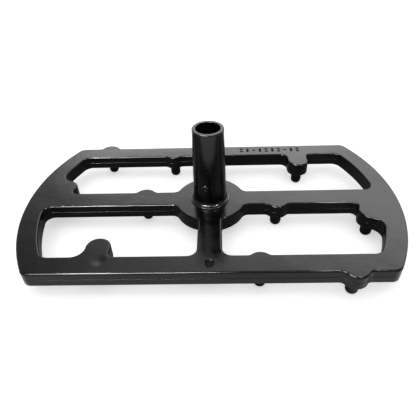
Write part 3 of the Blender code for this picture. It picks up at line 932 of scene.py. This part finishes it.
# Stage, light and camera
def make_floor():
    """A plain pale floor at the nozzle tips. From below it is clear, so that the underside can be seen.

    Mirror rays from above see a painted shade on it under the frame: a black patch that stands in for the
    frame's shadow. This is fitted to how dark the object's sides look in the photograph, and changes only
    what glossy surfaces mirror. A ray that has come up through the floor sees it plain.
    """
    bm = bmesh.new()
    bmesh.ops.create_grid(bm, x_segments=1, y_segments=1, size=FLOOR_HALF)
    floor = add_object("floor", finished_mesh(bm, "floor"))
    floor.location.z = cad_bounds[0].z
    material, tree, shader = blank_material("pale_floor")
    shader.inputs["Base Color"].default_value = (FLOOR_GREY, FLOOR_GREY, FLOOR_GREY, 1.0)
    shader.inputs["Roughness"].default_value = FLOOR_ROUGHNESS
    shader.inputs["Emission Color"].default_value = (1.0, 1.0, 1.0, 1.0)
    shader.inputs["Emission Strength"].default_value = FLOOR_GLOW
    geometry = node(tree, "ShaderNodeNewGeometry").outputs
    x, y, _ = node(tree, "ShaderNodeSeparateXYZ", Vector=geometry["Position"]).outputs
    reach = maths(tree, "SQRT", maths(tree, "ADD", product(tree, x, x), product(tree, y, y)))
    ends = smooth(tree, reach, *SHADE_ENDS, 0.0, 1.0)
    sides = smooth(tree, maths(tree, "ABSOLUTE", y), *SHADE_SIDES, 0.0, SHADE_DEPTH)
    path = node(tree, "ShaderNodeLightPath").outputs
    from_above = maths(tree, "LESS_THAN", path["Transparent Depth"], 0.5)
    mirrored = product(tree, path["Is Glossy Ray"], from_above)
    painted_shade_area = product(tree, ends, sides)
    clear = node(tree, "ShaderNodeBsdfTransparent").outputs[0]
    # Painted shade: a black matt shader that mirror rays from above see on the floor under the frame, in
    # place of a cast shadow
    painted_shade = node(tree, "ShaderNodeBsdfDiffuse", Color=(0.0, 0.0, 0.0, 1.0)).outputs[0]
    lit = mixed_shader(tree, product(tree, mirrored, painted_shade_area), shader.outputs[0], painted_shade)
    surface = mixed_shader(tree, geometry["Backfacing"], lit, clear)
    tree.links.new(surface, tree.nodes["Material Output"].inputs["Surface"])
    floor.data.materials.append(material)


def make_world():
    """Dim even light, with broad bright bands behind the object that its top faces mirror.

    The camera itself sees it paler, as a backdrop. It gives matt surfaces no light.
    """
    world = bpy.data.worlds.new("studio")
    bpy.context.scene.world = world
    world.use_nodes = True
    tree = world.node_tree
    way = node(tree, "ShaderNodeTexCoord").outputs["Generated"]
    x, y, z = node(tree, "ShaderNodeSeparateXYZ", Vector=way).outputs
    low_band = smooth(tree, z, 0.64, 0.47, 1.3, 4.5)
    left_fall = smooth(tree, x, -0.45, -0.24, 0.15, 1.0)
    right_fall = smooth(tree, x, 0.18, 0.36, 1.0, 0.65)
    low_part = product(tree, low_band, left_fall, right_fall)
    right_rise = smooth(tree, z, 0.50, 0.60, 0.0, 3.9)
    right_top = smooth(tree, z, 0.86, 0.62, 0.0, 1.0)
    right_side = smooth(tree, x, -0.35, 0.35, 0.0, 1.0)
    right_part = product(tree, right_rise, right_top, right_side)
    panels = maths(tree, "ADD", low_part, right_part)
    behind = smooth(tree, y, 0.15, 0.55, 0.0, 1.0)
    above = smooth(tree, z, 0.20, 0.42, 0.0, 1.0)
    glow = product(tree, panels, behind, above)
    background = tree.nodes["Background"]
    background.inputs["Color"].default_value = (1.0, 1.0, 1.0, 1.0)
    seen = node(tree, "ShaderNodeLightPath").outputs["Is Camera Ray"]
    lift = product(tree, seen, BACKDROP_LIFT)
    strength = maths(tree, "ADD", maths(tree, "ADD", glow, WORLD_GREY), lift)
    tree.links.new(strength, background.inputs["Strength"])
    world.cycles_visibility.diffuse = False


def make_lamp(name, place, target, size, power, mirrored, scattered):
    """A flat lamp that the camera can't see. Surfaces may mirror it, scatter its light, or both."""
    light = bpy.data.lights.new(name, "AREA")
    light.shape = "RECTANGLE"
    light.size, light.size_y = size
    light.energy = power
    lamp = add_object(name, light)
    lamp.location = place
    lamp.rotation_mode = "QUATERNION"
    lamp.rotation_quaternion = (Vector(target) - Vector(place)).to_track_quat("-Z", "Y")
    lamp.visible_camera = False
    lamp.visible_glossy = mirrored
    lamp.visible_diffuse = scattered


def make_camera():
    """The photographed view: from the front, about 39 degrees down, with a slight yaw and roll."""
    pitch, yaw, roll = CAMERA_PITCH, CAMERA_YAW, CAMERA_ROLL
    ahead = Vector((math.sin(yaw) * math.cos(pitch), math.cos(yaw) * math.cos(pitch), -math.sin(pitch)))
    right = Vector((math.cos(yaw), -math.sin(yaw), 0.0))
    down = ahead.cross(right)
    turned_right = math.cos(roll) * right + math.sin(roll) * down
    turned_down = math.cos(roll) * down - math.sin(roll) * right
    data = bpy.data.cameras.new("camera")
    data.sensor_width = CAMERA_SENSOR
    data.lens = CAMERA_LENS
    data.clip_start = CAMERA_NEAR
    camera = add_object("camera", data)
    axes = Matrix((turned_right, -turned_down, -ahead)).transposed()
    camera.matrix_world = Matrix.Translation(CAMERA_PLACE) @ axes.to_4x4()
    bpy.context.scene.camera = camera


def main():
    frame_black = enamel("frame_black", 0.0015, 0.004, 0.15, 0.20, sink=SINK_MARK)
    tube_black = enamel("tube_black", 0.001, 0.0025, 0.20, 0.30, wear=0.15)
    nozzle_black = enamel("nozzle_black", 0.0006, 0.0015, 0.28, 0.16, wear=0.1)
    fastener_black = enamel("fastener_black", 0.0015, 0.003, 0.50, 0.05)
    screw_black = enamel("screw_black", 0.001, 0.003, 0.24, 0.34)
    mark_black = enamel("mark_black", 0.002, 0.004, 0.60, 0.04)
    rim_face = machined("tube_rim_face", (0.09, 0.09, 0.092), 0.0, 0.45, gloss=0.25)
    seal_grey = rubber("seal_grey", 0.02, 0.045, 0.24)
    jet_brass = machined("jet_brass", (0.62, 0.44, 0.18), 1.0, 0.28)
    nut_steel = machined("nut_steel", (0.52, 0.52, 0.54), 1.0, 0.32)
    make_upper_shell(frame_black)
    make_lower_shell(frame_black)
    make_supply_tube(tube_black, rim_face)
    make_test_screw(screw_black)
    make_seal(seal_grey)
    make_rivets(fastener_black)
    make_nozzles(nozzle_black, jet_brass)
    dress_nut(nut_steel)
    make_mark_pads(mark_black)
    make_floor()
    make_world()
    for lamp in LAMPS:
        make_lamp(*lamp)
    make_camera()
    bpy.context.scene.view_settings.view_transform = "Standard"


main()
